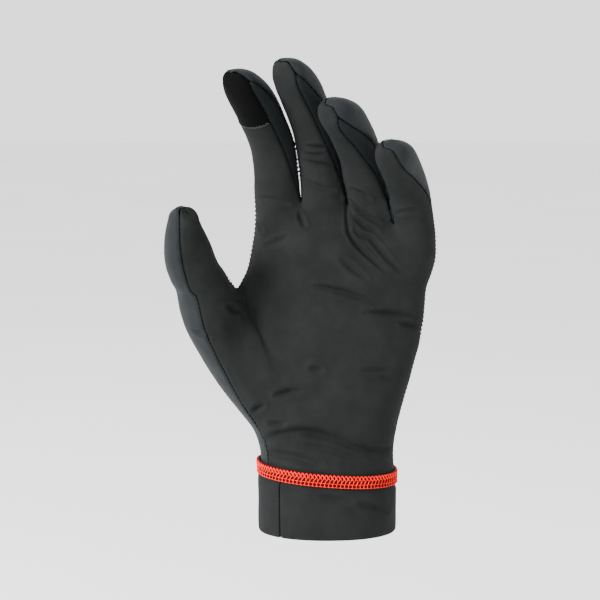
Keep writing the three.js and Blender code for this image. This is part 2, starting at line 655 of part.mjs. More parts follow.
const glove = new THREE.Group();
glove.add(meshOf("palm_panel", palmFacets, clothNormals, WALL, CLOTH));
glove.add(meshOf("back_panel", backFacets, clothNormals, WALL, BACK_CLOTH));
fourchettes.forEach((facets, i) => {
  const name = `${FINGERS[i].name}_${FINGERS[i + 1].name}_fourchette`;
  glove.add(meshOf(name, facets, clothNormals, WALL, BACK_CLOTH));
});
glove.add(meshOf("index_touch_patch", touchFacets, clothNormals, WALL, TOUCH_CLOTH));
glove.add(meshOf("cuff", cuffFacets, normalsOf([cuffFacets]), CUFF_WALL, CLOTH));
glove.add(meshOf("wrist_seam", seamFacets, normalsOf([seamFacets]), WRIST_SEAM_THICKNESS, THREAD));
export default glove;
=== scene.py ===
import json
import math

import bmesh
import bpy
from mathutils import Matrix, Vector, noise
from mathutils.bvhtree import BVHTree
from mathutils.kdtree import KDTree

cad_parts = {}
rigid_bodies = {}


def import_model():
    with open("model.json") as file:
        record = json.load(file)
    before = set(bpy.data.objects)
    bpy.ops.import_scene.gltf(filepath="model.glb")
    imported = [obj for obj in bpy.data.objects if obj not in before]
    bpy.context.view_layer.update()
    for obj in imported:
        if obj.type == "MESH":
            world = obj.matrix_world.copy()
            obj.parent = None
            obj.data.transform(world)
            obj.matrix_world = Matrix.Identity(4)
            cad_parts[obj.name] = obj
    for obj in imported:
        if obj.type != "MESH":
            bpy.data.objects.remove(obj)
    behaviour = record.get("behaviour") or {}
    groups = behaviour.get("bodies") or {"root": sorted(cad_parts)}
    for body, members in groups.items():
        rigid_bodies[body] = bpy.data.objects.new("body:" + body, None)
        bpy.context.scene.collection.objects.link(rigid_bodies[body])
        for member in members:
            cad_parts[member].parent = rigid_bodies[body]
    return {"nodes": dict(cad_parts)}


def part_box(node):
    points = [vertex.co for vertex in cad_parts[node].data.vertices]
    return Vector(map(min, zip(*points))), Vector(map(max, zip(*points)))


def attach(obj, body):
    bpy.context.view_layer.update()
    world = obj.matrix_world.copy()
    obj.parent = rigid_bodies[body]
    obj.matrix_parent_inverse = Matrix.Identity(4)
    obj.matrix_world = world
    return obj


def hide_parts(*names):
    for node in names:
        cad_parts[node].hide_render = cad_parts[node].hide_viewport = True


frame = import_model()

bl_info = {
    "name": "Glove liner",
    "version": (1, 0, 0),
    "blender": (4, 5, 0),
    "location": "3D View > Sidebar > Glove liner",
    "description": "Dresses a knitted left-hand glove liner: cloth panels, seams, wrist band and stage",
    "category": "Object",
}

MM = 0.001

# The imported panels, each with its material slot, and the band that joins cuff and hand.
PANELS = (
    ("index_touch_patch", "touch_cloth"),
    ("index_middle_fourchette", "back_cloth"),
    ("middle_ring_fourchette", "back_cloth"),
    ("ring_little_fourchette", "back_cloth"),
    ("palm_panel", "palm_cloth"),
    ("back_panel", "back_cloth"),
    ("cuff", "palm_cloth"),
)
BAND = "wrist_seam"
# How the height of the band's lower edge changes with x: it rises towards the thumb's side.
BAND_SLOPE = -0.075

# How flat and how square two triangles have to be to become one quad.
QUAD_FLAT = math.radians(35)
QUAD_SQUARE = math.radians(70)

# The outer skin: faces that meet at no more than this angle, in regions of more than this area in m2 and
# with more than this share open to the air. Rays that start a little off the skin find that share, and
# those that lean out less than SKIN_AHEAD don't count.
SKIN_EDGE = math.radians(50)
SKIN_AREA = 0.0004
SKIN_OPEN = 0.08
SKIN_RAYS = 32
SKIN_AHEAD = 0.15
OFF_SKIN = 0.1 * MM

# Points nearer than this to the skin belong to it, and shorter ways out than this share are unclear.
AT_SKIN = 0.05 * MM
UNCLEAR = 0.2

# The rims of the cloth: the sharpest edge that isn't one, and how firmly a rim keeps its shape.
RIM_EDGE = math.radians(60)
RIM_CREASE = 0.35

# Where two panels meet: the widest gap, the step along their borders and the shortest seam in steps.
SEAM_REACH = 1.2 * MM
SEAM_STEP = 0.5 * MM
SEAM_LEAST = 4

# The groove of a seam, and how its depth puckers along it.
GROOVE_DEPTH = 0.22 * MM
GROOVE_LEAST = 0.02 * MM
GROOVE_HALF = 1.0 * MM
PUCKER_DEPTH = 0.3 * MM
PUCKER_LENGTH = 2.5 * MM

# How quickly a fold deepens from its ends, and its width at the ends as a share of that at its middle.
FOLD_TAPER = 0.7
FOLD_END = 0.6

# The lips beside a fold: their height as a share of its depth, their place and width in half widths,
# and the depth of cloth in which they fade.
LIP_SHARE = 0.4
LIP_PLACE = 1.9
LIP_WIDTH = 0.8
LIP_FADE = 0.2 * MM

# How far away a fold or groove is felt, and how near to a fold the cloth is refined.
RELIEF_REACH = 7 * MM
FOLD_REACH = 4.5 * MM

# The cloth's soft waviness: the length and height of each wave.
WAVES = ((11 * MM, 0.30 * MM), (4.5 * MM, 0.10 * MM))

# How far under the band the cuff takes to stand out, and the share of its own seam that is sewn.
EASE_RUN = 3 * MM
CUFF_SEAM_SHARE = 0.86

# Stitches and the thread under them: both ends as shares of the pitch, and the depth.
STITCH = (0.2, 0.8, 0.08 * MM)
LOWER_THREAD = (-0.15, 1.15, 0.7 * MM)
# The shortest stitch that is sewn, as a share of the pitch.
SHORTEST_STITCH = 0.3

# The rays that find the way out at a seam: how many, where they start and how much each counts.
WAY_RAYS = 12
WAY_START = 0.8 * MM
WAY_WEIGHT = 0.6

# The pale zigzag of the touch patch.
ZIGZAG_HALF = 0.7 * MM
ZIGZAG_LIFT = 0.15 * MM
ZIGZAG_RADIUS = 0.14 * MM

# One loop of the band: loops round and share down where a strand starts, the same where it ends,
# its radius and how far it stands out.
BAND_STRANDS = (
    (0.55, 0.00, -0.45, 0.50, 0.34 * MM, 0.10 * MM),
    (-0.50, 0.00, 0.50, 0.44, 0.40 * MM, 0.42 * MM),
    (0.62, 0.38, 0.12, 0.70, 0.30 * MM, 0.28 * MM),
    (-0.52, 0.70, 0.52, 0.66, 0.26 * MM, 0.38 * MM),
    (0.05, 0.66, 0.05, 0.96, 0.27 * MM, 0.20 * MM),
    (-0.50, 0.93, 0.50, 0.97, 0.27 * MM, 0.32 * MM),
)
POINTS_A_LOOP = 4

# The stage: place and size of the two square lights, the point that they face, and the floor.
KEY_PLACE = (-1.05, -0.75, 0.85)
KEY_SIZE = 0.4
FILL_PLACE = (0.1, -1.0, 0.15)
FILL_SIZE = 0.6
LIGHTS_AIM = Vector((0, 0, 0.12))
FLOOR_HALF = 6

# The camera, the picture whose columns u and rows v place the folds, and the step along them in pixels.
PICTURE = 600
CAMERA_PLACE = Vector((-0.01375, -0.89124, 0.24226))
CAMERA_PITCH = math.radians(82)
CAMERA_LENS = 108
SENSOR = 36
LINE_STEP = 1.5

# Folds of the worn cloth: depth mm, half width mm, then the points (u, v) along each.
FOLDS = (
    (1.0, 1.2, ((346, 205), (347, 218), (349, 232), (355, 243), (366, 254), (378, 265), (389, 275))),
    (1.0, 1.3, ((352, 229), (360, 235), (370, 238), (378, 247), (388, 259), (400, 271), (410, 276))),
    (0.8, 1.2, ((257, 223), (260, 228), (263, 232))),
    (0.6, 1.4, ((264, 247), (277, 242), (291, 235))),
    (1.4, 1.5, ((312, 286), (331, 289), (348, 293), (366, 300), (380, 306))),
    (1.4, 1.6, ((363, 313), (389, 314), (417, 317))),
    (1.2, 1.3, ((400, 323), (418, 328))),
    (1.0, 1.5, ((340, 258), (352, 268), (368, 280))),
    (1.0, 1.5, ((310, 369), (324, 370))),
    (0.8, 1.4, ((360, 371), (390, 371))),
    (1.3, 1.5, ((274, 396), (289, 392), (303, 391))),
    (1.2, 1.4, ((252, 413), (258, 408), (265, 405))),
    (1.0, 1.4, ((269, 424), (286, 424))),
    (2.2, 2.2, (
        (262, 441), (280, 434), (300, 431), (320, 434), (338, 440), (354, 447), (372, 451), (392, 453),
    )),
    (1.7, 2.0, ((266, 452), (284, 455), (304, 460), (324, 466))),
    (1.2, 1.8, ((306, 446), (330, 449), (350, 456), (366, 460))),
    (1.0, 1.4, ((372, 446), (380, 450), (392, 449))),
    (0.7, 1.3, ((190, 329), (201, 333), (212, 337))),
    (1.2, 1.6, ((227, 305), (233, 309), (240, 311))),
    (1.2, 3.0, ((189, 209), (193, 214))),
    (0.8, 1.4, ((236, 298), (243, 304), (247, 313))),
    (0.9, 1.2, ((299, 213), (302, 220), (305, 228))),
    (1.3, 1.1, ((306, 146), (318, 147), (329, 146))),
    (1.0, 1.0, ((305, 154), (316, 155), (327, 154))),
    (1.5, 1.2, ((303, 161), (320, 165), (337, 166))),
    (1.3, 1.2, ((306, 180), (314, 185), (325, 189), (337, 191))),
    (1.0, 1.3, ((259, 198), (274, 200), (291, 205))),
    (1.6, 1.3, ((350, 200), (360, 211), (370, 218), (381, 224))),
    (1.3, 1.2, ((350, 189), (361, 194), (372, 201))),
    (1.2, 1.2, ((353, 216), (366, 227), (380, 234))),
    (0.5, 1.4, ((393, 215), (408, 211), (424, 212))),
    (1.1, 1.8, ((322, 496), (338, 500), (352, 501))),
    (1.0, 1.8, ((357, 504), (372, 508), (388, 511))),
)
# Small points where the cloth stands up at fingertips and crotches: height mm, half width mm, (u, v).
CORNERS = (
    (0.9, 1.8, (235, 72)),
    (0.6, 1.6, (224, 84)),
    (0.7, 1.8, (288, 63)),
    (0.9, 1.8, (318, 101)),
    (0.7, 1.8, (334, 96)),
    (0.9, 1.8, (372, 140)),
    (0.7, 1.8, (392, 140)),
    (1.6, 2.2, (179, 211)),
    (1.3, 2.6, (385, 195)),
    (1.3, 2.6, (387, 204)),
    (1.3, 2.6, (389, 212)),
    (1.3, 2.2, (391, 217)),
    (1.3, 2.0, (389, 199)),
    (0.9, 2.0, (344, 197)),
)


# Faces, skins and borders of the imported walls.

def merged_copy(node):
    """One closed shell of quads from a node's loose triangles."""
    shell = bmesh.new()
    shell.from_mesh(node.data)
    bmesh.ops.remove_doubles(shell, verts=shell.verts, dist=0.001 * MM)
    bmesh.ops.join_triangles(
        shell, faces=shell.faces,
        angle_face_threshold=QUAD_FLAT, angle_shape_threshold=QUAD_SQUARE,
    )
    return shell


def soft_regions(shell):
    """Groups of faces that meet one another without a sharp edge."""
    taken = set()
    regions = []
    for first in shell.faces:
        if first in taken:
            continue
        taken.add(first)
        region = [first]
        for face in region:
            for edge in face.edges:
                if edge.calc_face_angle(0.0) > SKIN_EDGE:
                    continue
                for other in edge.link_faces:
                    if other not in taken:
                        taken.add(other)
                        region.append(other)
        regions.append(region)
    return regions


def directions(count):
    """Evenly spread unit vectors."""
    turn = math.pi * (3 - math.sqrt(5))
    spread = []
    for i in range(count):
        z = 1 - 2 * (i + 0.5) / count
        r = math.sqrt(1 - z * z)
        spread.append(Vector((r * math.cos(turn * i), r * math.sin(turn * i), z)))
    return spread


class Walls:
    """Every node's triangles in one tree, to tell open air from the hollow of the glove."""

    def __init__(self, nodes):
        everything = bmesh.new()
        for node in nodes:
            everything.from_mesh(node.data)
        self.tree = BVHTree.FromBMesh(everything)
        everything.free()
        low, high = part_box("cuff")
        self.hem = Vector(((low.x + high.x) / 2, (low.y + high.y) / 2, low.z - OFF_SKIN))
        self.half = (high - low) / 2
        self.rays = directions(SKIN_RAYS)

    def escapes(self, point, ray):
        """Whether a ray reaches open air, and not through the open hem."""
        if self.tree.ray_cast(point, ray)[0] is not None:
            return False
        if ray.z >= 0:
            return True
        at = point + ray * ((self.hem.z - point.z) / ray.z)
        gone = ((at.x - self.hem.x) / self.half.x) ** 2 + ((at.y - self.hem.y) / self.half.y) ** 2
        return gone > 1

    def openness(self, face):
        """The share of the directions in front of a face that reach open air."""
        point = face.calc_center_median() + face.normal * OFF_SKIN
        ahead = [ray for ray in self.rays if ray.dot(face.normal) > SKIN_AHEAD]
        return sum(self.escapes(point, ray) for ray in ahead) / len(ahead)


def outer_faces(shell, walls):
    """A shell's outer skin, as a dict of its faces, since the order of a set changes from run to run."""
    outer = {}
    for region in soft_regions(shell):
        area = sum(face.calc_area() for face in region)
        seen = sum(face.calc_area() * walls.openness(face) for face in region)
        if area > SKIN_AREA and seen / area > SKIN_OPEN:
            outer.update(dict.fromkeys(region))
    return outer


def skin_tree(skins):
    """Some outer skins in one tree."""
    joined = bmesh.new()
    for outer in skins:
        copied = {}
        for face in outer:
            for vert in face.verts:
                if vert not in copied:
                    copied[vert] = joined.verts.new(vert.co)
            joined.faces.new([copied[vert] for vert in face.verts])
    tree = BVHTree.FromBMesh(joined)
    joined.free()
    return tree


def border_paths(outer):
    """The borders of an outer skin, each as a list of points."""
    ends = {}
    for face in outer:
        for edge in face.edges:
            if sum(other in outer for other in edge.link_faces) == 1:
                for vert in edge.verts:
                    ends.setdefault(vert, []).append(edge)
    left = dict.fromkeys(edge for edges in ends.values() for edge in edges)

    def onward(vert):
        for edge in ends[vert]:
            if edge in left:
                del left[edge]
                return edge.other_vert(vert)
        return None

    paths = []
    while left:
        edge = next(iter(left))
        del left[edge]
        path = list(edge.verts)
        while (far := onward(path[-1])) is not None:
            path.append(far)
        while (far := onward(path[0])) is not None:
            path.insert(0, far)
        paths.append([vert.co.copy() for vert in path])
    return paths


def walk(points, step):
    """Points along a path at an even step."""
    out = [points[0].copy()]
    carry = 0.0
    for a, b in zip(points, points[1:]):
        length = (b - a).length
        at = step - carry
        while at <= length:
            out.append(a.lerp(b, at / length))
            at += step
        carry = (carry + length) % step
    return out


# Seams.

def facing(point, names, trees):
    """The panel whose skin lies nearest to a point of a border, and the middle of the gap between them."""
    least = SEAM_REACH
    panel = None
    middle = None
    for name in names:
        near, _, _, distance = trees[name].find_nearest(point, SEAM_REACH)
        if near is not None and (panel is None or distance < least):
            least = distance
            panel = name
            middle = (near + point) / 2
    return panel, middle


def sewn_runs(skins):
    """Every seam between two panels: their names and the points along it."""
    trees = {name: skin_tree([outer]) for name, outer in skins.items()}
    names = [name for name, _ in PANELS if name != "cuff"]
    seams = []
    for rank, name in enumerate(names):
        for path in border_paths(skins[name]):
            run = []
            last = None
            for point in walk(path, SEAM_STEP):
                panel, middle = facing(point, names[rank + 1:], trees)
                if panel != last:
                    seams.append((name, last, run))
                    run = []
                    last = panel
                if panel:
                    run.append(middle)
            seams.append((name, last, run))
    return [seam for seam in seams if len(seam[2]) > SEAM_LEAST]


# The picture's lines of sight.

def sight(u, v):
    """The direction from the camera through a point of the picture."""
    focal = PICTURE * CAMERA_LENS / SENSOR
    ray = Vector((u - PICTURE / 2, PICTURE / 2 - v, -focal))
    ray.rotate(Matrix.Rotation(CAMERA_PITCH, 3, "X"))
    return ray.normalized()


def laid_on(tree, corners):
    """A line drawn on the picture, laid on the cloth behind it."""
    flat = walk([Vector((u, v, 0)) for u, v in corners], LINE_STEP)
    places = [tree.ray_cast(CAMERA_PLACE, sight(point.x, point.y))[0] for point in flat]
    return [place for place in places if place is not None]


# Cloth.

def wall_copy(node, shell, outer, wall):
    """The shell with its rims marked, rounded and refined, and for each point the way out and its depth."""
    crease = shell.edges.layers.float.new("crease_edge")
    for edge in shell.edges:
        at_border = sum(face in outer for face in edge.link_faces) == 1
        if at_border or edge.calc_face_angle(0.0) > RIM_EDGE:
            edge[crease] = RIM_CREASE
    way = shell.verts.layers.float_vector.new("way_out")
    deep = shell.verts.layers.float.new("depth")
    for vert in shell.verts:
        seen = [face for face in vert.link_faces if face in outer]
        if seen:
            vert[way] = sum((face.normal * face.calc_area() for face in seen), Vector()).normalized()
            vert[deep] = 0.0
        else:
            vert[way] = -vert.normal
            vert[deep] = wall
    mesh = bpy.data.meshes.new(node.name + "_coarse")
    shell.to_mesh(mesh)
    rough = bpy.data.objects.new(node.name + "_coarse", mesh)
    bpy.context.scene.collection.objects.link(rough)
    smoother = rough.modifiers.new("Smooth cloth", "SUBSURF")
    smoother.levels = smoother.render_levels = 2
    smoother.boundary_smooth = "PRESERVE_CORNERS"
    ready = rough.evaluated_get(bpy.context.evaluated_depsgraph_get())
    fine = bpy.data.meshes.new_from_object(ready)
    bpy.data.objects.remove(rough)
    bpy.data.meshes.remove(mesh)
    return fine


def refined(mesh, relief):
    """Halves the outer faces that lie near a fold, so that it can be crisp."""
    bm = bmesh.new()
    bm.from_mesh(mesh)
    deep = bm.verts.layers.float["depth"]
    near = {vert for vert in bm.verts if vert[deep] < AT_SKIN and relief.folded(vert.co)}
    edges = [edge for edge in bm.edges if edge.verts[0] in near and edge.verts[1] in near]
    bmesh.ops.subdivide_edges(bm, edges=edges, cuts=1, use_grid_fill=True)
    bm.to_mesh(mesh)
    bm.free()


class Relief:
    """Folds, seam grooves and a soft waviness, as a height over the cloth at any point.

    A mark is a place, a depth and a half width. A point that stands up has a depth below zero.
    """

    def __init__(self, tree, seams, strength):
        self.strength = strength
        marks = []
        for depth, half, corners in FOLDS:
            line = laid_on(tree, corners)
            for i, place in enumerate(line):
                along = (i + 0.5) / len(line)
                taper = math.sin(math.pi * along) ** FOLD_TAPER
                width = half * (FOLD_END + (1 - FOLD_END) * taper)
                marks.append((place, depth * taper * MM, width * MM))
        self.fold_marks = len(marks)
        for path in seams:
            for place in path:
                pull = GROOVE_DEPTH + PUCKER_DEPTH * noise.noise(place / PUCKER_LENGTH)
                marks.append((place, max(pull, GROOVE_LEAST), GROOVE_HALF))
        for height, half, corner in CORNERS:
            for place in laid_on(tree, (corner,)):
                marks.append((place, -height * MM, half * MM))
        self.marks = marks
        self.finder = KDTree(len(marks))
        for i, mark in enumerate(marks):
            self.finder.insert(mark[0], i)
        self.finder.balance()

    def height(self, point):
        """How far the cloth stands out at a point."""
        fold = 0.0
        lip = 0.0
        peak = 0.0
        for _, i, distance in self.finder.find_range(point, RELIEF_REACH):
            _, depth, half = self.marks[i]
            away = distance / half
            if depth < 0:
                peak = max(peak, -depth * math.exp(-away * away))
                continue
            fold = max(fold, depth * math.exp(-away * away))
            lip = max(lip, depth * LIP_SHARE * math.exp(-((away - LIP_PLACE) / LIP_WIDTH) ** 2))
        wave = sum(noise.noise(point / length) * height for length, height in WAVES)
        return self.strength * (lip * (1 - fold / (fold + LIP_FADE)) - fold) + peak + wave

    def folded(self, point):
        """Whether a fold passes near a point."""
        return any(i < self.fold_marks for _, i, _ in self.finder.find_range(point, FOLD_REACH))


def pressed(mesh, relief):
    """Moves every point of a wall by the relief of the skin over it."""
    way = mesh.attributes["way_out"].data
    deep = mesh.attributes["depth"].data
    for i, vert in enumerate(mesh.vertices):
        out = Vector(way[i].vector)
        if out.length < UNCLEAR:
            continue
        out.normalize()
        skin = vert.co + out * deep[i].value
        vert.co = vert.co + out * relief.height(skin)
    mesh.update()


class CuffEase:
    """Lets the cuff's cloth stand out to the band's thread, just under it."""

    def __init__(self, ease):
        self.ease = ease
        self.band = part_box(BAND)
        low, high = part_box("cuff")
        self.middle = (low + high) / 2

    def moved(self, point):
        """Where a point of the cuff goes."""
        low, high = self.band
        away = Vector((point.x - self.middle.x, point.y - self.middle.y, 0)).normalized()
        under = low.z + BAND_SLOPE * (point.x - high.x) - point.z
        share = min(max(under / EASE_RUN, 0), 1)
        return point + away * self.ease * share * share * (3 - 2 * share)


def upright_seam(outer, ease):
    """The cuff's own seam, from its hem to the band."""
    ends = []
    for path in border_paths(outer):
        for a, b in zip(path, path[1:]):
            if abs(b.z - a.z) > 2 * Vector((b.x - a.x, b.y - a.y)).length:
                ends += [a, b]
    if not ends:
        raise RuntimeError("the cuff has no upright seam")
    ends.sort(key=lambda point: point.z)
    few = max(2, len(ends) // 8)
    hem = sum(ends[:few], Vector()) / few
    top = sum(ends[-few:], Vector()) / few
    seam = [hem, hem.lerp(top, CUFF_SEAM_SHARE)]
    return [ease.moved(point) for point in walk(seam, SEAM_STEP)]


def as_piece(name, mesh, material, node):
    """Puts a finished mesh in the scene, on the body, in the place of its node."""
    piece = bpy.data.objects.new(name, mesh)
    bpy.context.scene.collection.objects.link(piece)
    mesh.materials.clear()
    mesh.materials.append(material)
    for face in mesh.polygons:
        face.use_smooth = True
        face.material_index = 0
    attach(piece, "root")
    if node:
        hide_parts(node)


# Materials.

class Sheet:
    """A material's node tree, with short calls for its nodes."""

    def __init__(self, name):
        self.material = bpy.data.materials.new(name)
        self.material.use_nodes = True
        self.tree = self.material.node_tree
        self.shader = self.tree.nodes["Principled BSDF"]
        self.place = self.tree.nodes.new("ShaderNodeTexCoord").outputs["Object"]

    def node(self, kind, **values):
        made = self.tree.nodes.new(kind)
        for key, value in values.items():
            setattr(made, key, value)
        return made

    def join(self, source, socket):
        self.tree.links.new(source, socket)

    def math(self, operation, *values):
        made = self.node("ShaderNodeMath", operation=operation)
        for socket, value in zip(made.inputs, values):
            if isinstance(value, (int, float)):
                socket.default_value = value
            else:
                self.join(value, socket)
        return made.outputs[0]

    def axes(self, vector):
        made = self.node("ShaderNodeSeparateXYZ")
        self.join(vector, made.inputs[0])
        return made.outputs

    def noise(self, scale, detail=2.0, roughness=0.5):
        made = self.node("ShaderNodeTexNoise")
        made.inputs["Scale"].default_value = scale
        made.inputs["Detail"].default_value = detail
        made.inputs["Roughness"].default_value = roughness
        self.join(self.place, made.inputs["Vector"])
        return made.outputs["Fac"]

    def ramp(self, value, *stops):
        made = self.node("ShaderNodeValToRGB")
        ramp = made.color_ramp
        while len(ramp.elements) < len(stops):
            ramp.elements.new(0.5)
        for element, (at, colour) in zip(ramp.elements, stops):
            element.position = at
            element.color = (*colour, 1)
        self.join(value, made.inputs[0])
        return made.outputs[0]

    def bump(self, height, distance, strength, below=None):
        made = self.node("ShaderNodeBump")
        made.inputs["Distance"].default_value = distance
        made.inputs["Strength"].default_value = strength
        self.join(height, made.inputs["Height"])
        if below is not None:
            self.join(below, made.inputs["Normal"])
        return made.outputs[0]


def loops(sheet, across, up, wale, course):
    """The height of knitted V loops, with ribs a wale apart and rows a course apart."""
    rib = sheet.math("FRACT", sheet.math("MULTIPLY", across, 1 / wale))
    off = sheet.math("ABSOLUTE", sheet.math("SUBTRACT", rib, 0.5))
    rise = sheet.math("MULTIPLY_ADD", off, 1.2, sheet.math("MULTIPLY", up, 1 / course))
    row = sheet.math("COSINE", sheet.math("MULTIPLY", rise, math.tau))
    leg = sheet.math("SINE", sheet.math("MULTIPLY", off, math.tau))
    waved = sheet.math("MULTIPLY", leg, 0.35)
    level = sheet.math("MULTIPLY", leg, 0.65)
    return sheet.math("MULTIPLY_ADD", row, waved, level)


def knit_material(name, colour, cloth, roughness, gloss, depth=1.0):
    """Fine stretch knit: V loops, soft random mottling with painted shade in the hollows between the loops,
    and a satin sheen.
    """
    sheet = Sheet(name)
    x, y, z = sheet.axes(sheet.place)
    # The ribs stand side by side along x, and along y where the cloth is turned sideways.
    normal = sheet.node("ShaderNodeNewGeometry").outputs["Normal"]
    side = sheet.math("ABSOLUTE", sheet.axes(normal)[0])
    rise = sheet.math("MAXIMUM", sheet.math("MULTIPLY_ADD", side, 5, -3), 0)
    sideways = sheet.math("SMOOTH_MIN", rise, 1, 0.1)
    mixed = sheet.node("ShaderNodeMix", data_type="FLOAT")
    sheet.join(sideways, mixed.inputs[0])
    sheet.join(loops(sheet, x, z, cloth.wale, cloth.course), mixed.inputs[2])
    sheet.join(loops(sheet, y, z, cloth.wale, cloth.course), mixed.inputs[3])
    height = mixed.outputs[0]
    # Random mottling plus the loops' height: the hollows between loops get a darker colour, a painted
    # shade.
    mottle_and_loop_shade = sheet.math("MULTIPLY_ADD", sheet.noise(90, 4, 0.6), 0.75, sheet.math("MULTIPLY", height, 0.25))
    shades = [tuple(channel * factor for channel in colour) for factor in (0.78, 1.0, 1.28)]
    sheet.join(
        sheet.ramp(mottle_and_loop_shade, (0.28, shades[0]), (0.48, shades[1]), (0.72, shades[2])),
        sheet.shader.inputs["Base Color"],
    )
    fluff = sheet.bump(sheet.noise(2600, 2, 0.6), 0.12 * MM, 0.5)
    sheet.join(sheet.bump(height, 0.22 * MM * depth, 0.7, fluff), sheet.shader.inputs["Normal"])
    sheet.shader.inputs["Roughness"].default_value = roughness
    sheet.shader.inputs["Sheen Weight"].default_value = 0.01
    sheet.shader.inputs["Sheen Roughness"].default_value = 0.45
    sheet.shader.inputs["Sheen Tint"].default_value = (0.8, 0.9, 1.0, 1)
    sheet.shader.inputs["Specular IOR Level"].default_value = gloss
    return sheet.material


def thread_material(name, dark, light, gloss):
    """Spun thread: fine fibres, with lighter and darker strands."""
    sheet = Sheet(name)
    patches = sheet.noise(900, 3, 0.6)
    sheet.join(sheet.ramp(patches, (0.3, dark), (0.7, light)), sheet.shader.inputs["Base Color"])
    fibres = sheet.bump(sheet.noise(4200, 2, 0.6), 0.12 * MM, 0.6)
    sheet.join(fibres, sheet.shader.inputs["Normal"])
    sheet.shader.inputs["Roughness"].default_value = 0.55
    sheet.shader.inputs["Specular IOR Level"].default_value = gloss
    return sheet.material


def scaled(colour, factor):
    """A lighter or darker shade of a colour."""
    return tuple(channel * factor for channel in colour)


# Thread.

class Thread:
    """Many short strands of thread, each a copy of one small rounded strand."""

    def __init__(self, name):
        self.name = name
        one = bmesh.new()
        bmesh.ops.create_uvsphere(one, u_segments=6, v_segments=5, radius=1)
        self.one = bpy.data.meshes.new(name + "_strand")
        one.to_mesh(self.one)
        one.free()
        self.parts = []

    def strand(self, start, end, normal, radius):
        """A strand from start to end, fullest in its middle."""
        along = (end - start).normalized()
        side = normal.cross(along).normalized()
        turn = Matrix((side, along.cross(side), along)).transposed().to_4x4()
        size = Matrix.Diagonal((radius, radius, (end - start).length / 2, 1))
        self.parts.append(Matrix.Translation((start + end) / 2) @ turn @ size)

    def mesh(self):
        """All the strands in one mesh."""
        bm = bmesh.new()
        for place in self.parts:
            piece = self.one.copy()
            piece.transform(place)
            bm.from_mesh(piece)
            bpy.data.meshes.remove(piece)
        bpy.data.meshes.remove(self.one)
        return finished(bm, self.name)


def finished(bm, name):
    """A mesh from a bmesh whose faces all point outwards."""
    bmesh.ops.recalc_face_normals(bm, faces=bm.faces)
    mesh = bpy.data.meshes.new(name)
    bm.to_mesh(mesh)
    bm.free()
    return mesh


def dressed_tree():
    """The finished cloth panels as one tree, for what is sewn on them."""
    joined = bmesh.new()
    for name, _ in PANELS:
        joined.from_mesh(bpy.data.objects[name + "_cloth"].data)
    tree = BVHTree.FromBMesh(joined)
    joined.free()
    return tree


def way_out(tree, point):
    """The way out of the cloth at a seam, where the nearest face may belong to a rim."""
    total = Vector(tree.find_nearest(point)[1])
    for ray in directions(WAY_RAYS):
        if tree.ray_cast(point + ray * WAY_START, ray)[0] is None:
            total += ray * WAY_WEIGHT
    return total.normalized()


def spaced(path, count):
    """A closed border as evenly spaced points, from the side seam round by the front."""
    ring = path if (path[0] - path[-1]).length < 0.001 * MM else path + [path[0]]
    middle = sum(ring, Vector()) / len(ring)
    area = sum(a.x * b.y - a.y * b.x for a, b in zip(ring, ring[1:]))
    if area < 0:
        ring = ring[::-1]
    ring = ring[:-1]
    first = min(range(len(ring)), key=lambda i: math.atan2(ring[i].y - middle.y, ring[i].x - middle.x))
    ring = ring[first:] + ring[:first + 1]
    whole = sum((b - a).length for a, b in zip(ring, ring[1:]))
    return walk(ring, whole / count)[:count]


class BandRims:
    """The upper and the lower rim of the wrist band, and the places on the cloth between them."""

    def __init__(self, borders, loop_count):
        longest = sorted(borders, key=lambda path: -len(path))[:2]
        longest.sort(key=lambda path: -sum(point.z for point in path) / len(path))
        self.upper, self.lower = [spaced(path, loop_count * POINTS_A_LOOP) for path in longest]
        self.centre = sum(self.upper + self.lower, Vector()) / (len(self.upper) * 2)

    def at(self, turn, down, lift):
        """The place so many loops round, that share of the way down and so far out, with the way out."""
        base = math.floor(turn * POINTS_A_LOOP)
        part = turn * POINTS_A_LOOP - base
        high, low = [
            rim[base % len(rim)].lerp(rim[(base + 1) % len(rim)], part) for rim in (self.upper, self.lower)
        ]
        place = high.lerp(low, down)
        count = len(self.upper)
        ahead = self.upper[(base + 2) % count] - self.upper[(base - 2) % count]
        out = ahead.cross(high - low).normalized()
        if out.dot(Vector((place.x - self.centre.x, place.y - self.centre.y, 0))) < 0:
            out.negate()
        return place + out * lift, out


# What the operators share: the seams' runs, the band's borders and the dressed cloth's tree.
shared = {}


def colour_prop(name, text, default):
    return bpy.props.FloatVectorProperty(
        name=name, description=text, subtype="COLOR", size=3, default=default, min=0, max=1
    )


def length_prop(name, text, default):
    return bpy.props.FloatProperty(
        name=name, description=text, subtype="DISTANCE", unit="LENGTH", default=default, min=0, precision=5
    )


def power_prop(name, text, default):
    return bpy.props.FloatProperty(name=name, description=text, unit="POWER", default=default, min=0)


class GloveCloth(bpy.types.PropertyGroup):
    wall: length_prop("Wall", "Thickness of the cloth", 0.0012)
    wale: length_prop("Wale", "Width of one rib of the knit", 0.0006)
    course: length_prop("Course", "Height of one row of the knit", 0.0005)
    ease: length_prop("Ease", "How far the cuff stands out under the band", 0.0011)
    folds: bpy.props.FloatProperty(
        name="Folds", description="Strength of the folds and grooves", default=1.5, min=0, max=3
    )
    palm: colour_prop("Palm", "Charcoal of the palm and cuff", (0.0105, 0.0115, 0.0112))
    back: colour_prop("Back", "Slate grey of the back", (0.0092, 0.0112, 0.0122))
    # The fourchettes' grey is their own cloth's colour, darkened further as painted shade between the
    # fingers.
    side: colour_prop("Side", "Dark grey of the fourchettes", (0.0078, 0.0092, 0.0099))
    patch: colour_prop("Patch", "Black of the touch patch", (0.0022, 0.0022, 0.0022))


